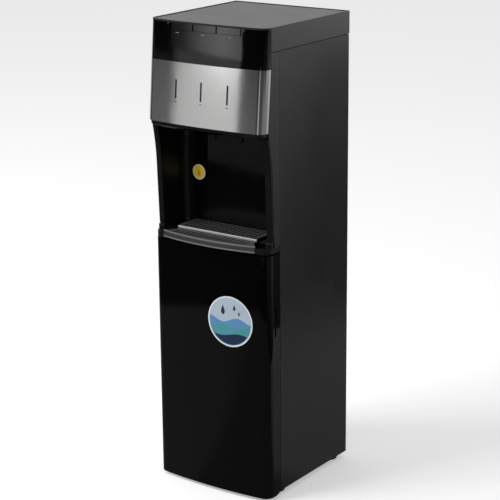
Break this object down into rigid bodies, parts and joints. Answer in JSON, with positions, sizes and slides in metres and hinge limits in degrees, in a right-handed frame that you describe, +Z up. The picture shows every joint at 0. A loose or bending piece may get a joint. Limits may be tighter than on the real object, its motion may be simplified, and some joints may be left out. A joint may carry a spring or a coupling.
{
  "type": "bottom load water cooler",
  "caption": "Floor-standing water cooler with a bottle bay below, a dispensing niche with spouts and drip tray, push keys and a rear condenser.",
  "frame": {"origin": "on the floor, at the middle of the overall footprint", "axes": "+Z up, -Y towards the user at the front, +X to the right seen from the front"},
  "size_m": [0.31, 0.3686, 1.065],
  "materials": {
    "satin_dark": "satin",
    "painted_side": "satin",
    "gloss_black": "gloss",
    "black_plastic": "satin",
    "steel_brushed": "brushed",
    "zinc_sheet": "matte",
    "rubber": "matte",
    "silver_trim": "satin",
    "grille_grey": "satin",
    "chrome": "polished",
    "light_guide": "gloss",
    "white_plastic": "satin",
    "hose": "satin",
    "board_green": "satin",
    "valve_body": "satin",
    "tank_steel": "satin",
    "spring_steel": "satin",
    "copper": "satin",
    "heater": "satin",
    "foam": "matte",
    "compressor_black": "satin",
    "magnet": "matte"
  },
  "bodies": {
    "cabinet": {"feet": "rubber", "base_pan": "zinc_sheet", "side_panel_right": "painted_side", "side_panel_left": "painted_side", "rear_panel": "zinc_sheet", "panel_screws": "zinc_sheet", "shelf": "zinc_sheet", "tank_shelf": "zinc_sheet", "bay_floor": "black_plastic", "top_cover": "satin_dark", "fascia": "gloss_black", "steel_band": "steel_brushed", "face_frame": "satin_dark", "indicator_lenses": "light_guide", "switch_board": "board_green", "spout_plate": "gloss_black", "spout_hot": "black_plastic", "spout_room": "black_plastic", "spout_cold": "black_plastic", "solenoid_valves": "valve_body", "water_lines": "hose", "niche_liner": "gloss_black", "ledge": "black_plastic", "hinge_top": "zinc_sheet", "hinge_bottom": "zinc_sheet", "probe_holder": "black_plastic", "suction_probe": "white_plastic", "probe_cap": "white_plastic", "suction_hose": "hose", "pump": "valve_body", "cold_tank": "tank_steel", "evaporator": "copper", "hot_tank": "tank_steel", "heater_band": "heater", "tank_insulation": "foam", "compressor": "compressor_black", "compressor_mounts": "rubber", "condenser_tube": "compressor_black", "condenser_wires": "compressor_black", "condenser_brackets": "white_plastic", "rocker_plate": "black_plastic", "cord_gland": "black_plastic", "key_spring_hot": "spring_steel", "key_spring_room": "spring_steel", "key_spring_cold": "spring_steel"},
    "door": {"door_panel": "gloss_black", "door_liner": "white_plastic", "hinge_bushes": "white_plastic", "door_magnets": "magnet"},
    "key_hot": {"key_hot": "gloss_black"},
    "key_room": {"key_room": "gloss_black"},
    "key_cold": {"key_cold": "gloss_black"},
    "tray": {"drip_tray": "black_plastic", "tray_rim": "silver_trim", "tray_bar": "chrome"},
    "front_grille": {"front_grille": "grille_grey"},
    "rear_grille": {"rear_grille": "grille_grey"},
    "rocker_hot": {"rocker_hot": "black_plastic"},
    "rocker_cold": {"rocker_cold": "black_plastic"},
    "drain_cap": {"drain_cap": "black_plastic"}
  },
  "joints": [
    {"name": "door_hinge", "type": "hinge", "parent": "cabinet", "child": "door", "pos_m": [-0.147, -0.126, 0.29], "axis": [0, 0, -1], "range_deg": [0, 105]},
    {"name": "key_hot_press", "type": "slide", "parent": "cabinet", "child": "key_hot", "axis": [0, 1, 0], "range_m": [0, 0.003], "stiffness_N_per_m": 900, "springref_m": -0.001, "deforming": ["key_spring_hot"]},
    {"name": "key_room_press", "type": "slide", "parent": "cabinet", "child": "key_room", "axis": [0, 1, 0], "range_m": [0, 0.003], "stiffness_N_per_m": 900, "springref_m": -0.001, "deforming": ["key_spring_room"]},
    {"name": "key_cold_press", "type": "slide", "parent": "cabinet", "child": "key_cold", "axis": [0, 1, 0], "range_m": [0, 0.003], "stiffness_N_per_m": 900, "springref_m": -0.001, "deforming": ["key_spring_cold"]},
    {"name": "tray_pull", "type": "slide", "parent": "cabinet", "child": "tray", "axis": [0, -1, 0], "range_m": [0, 0.12]},
    {"name": "front_grille_lift", "type": "slide", "parent": "tray", "child": "front_grille", "axis": [0, 0, 1], "range_m": [0, 0.04]},
    {"name": "rear_grille_lift", "type": "slide", "parent": "tray", "child": "rear_grille", "axis": [0, 0, 1], "range_m": [0, 0.04]},
    {"name": "rocker_hot_tilt", "type": "hinge", "parent": "cabinet", "child": "rocker_hot", "pos_m": [0.075, 0.1643, 0.52], "axis": [1, 0, 0], "range_deg": [-8, 8]},
    {"name": "rocker_cold_tilt", "type": "hinge", "parent": "cabinet", "child": "rocker_cold", "pos_m": [0.105, 0.1643, 0.52], "axis": [1, 0, 0], "range_deg": [-8, 8]},
    {"name": "drain_cap_pull", "type": "slide", "parent": "cabinet", "child": "drain_cap", "axis": [0, 1, 0], "range_m": [0, 0.015]}
  ]
}
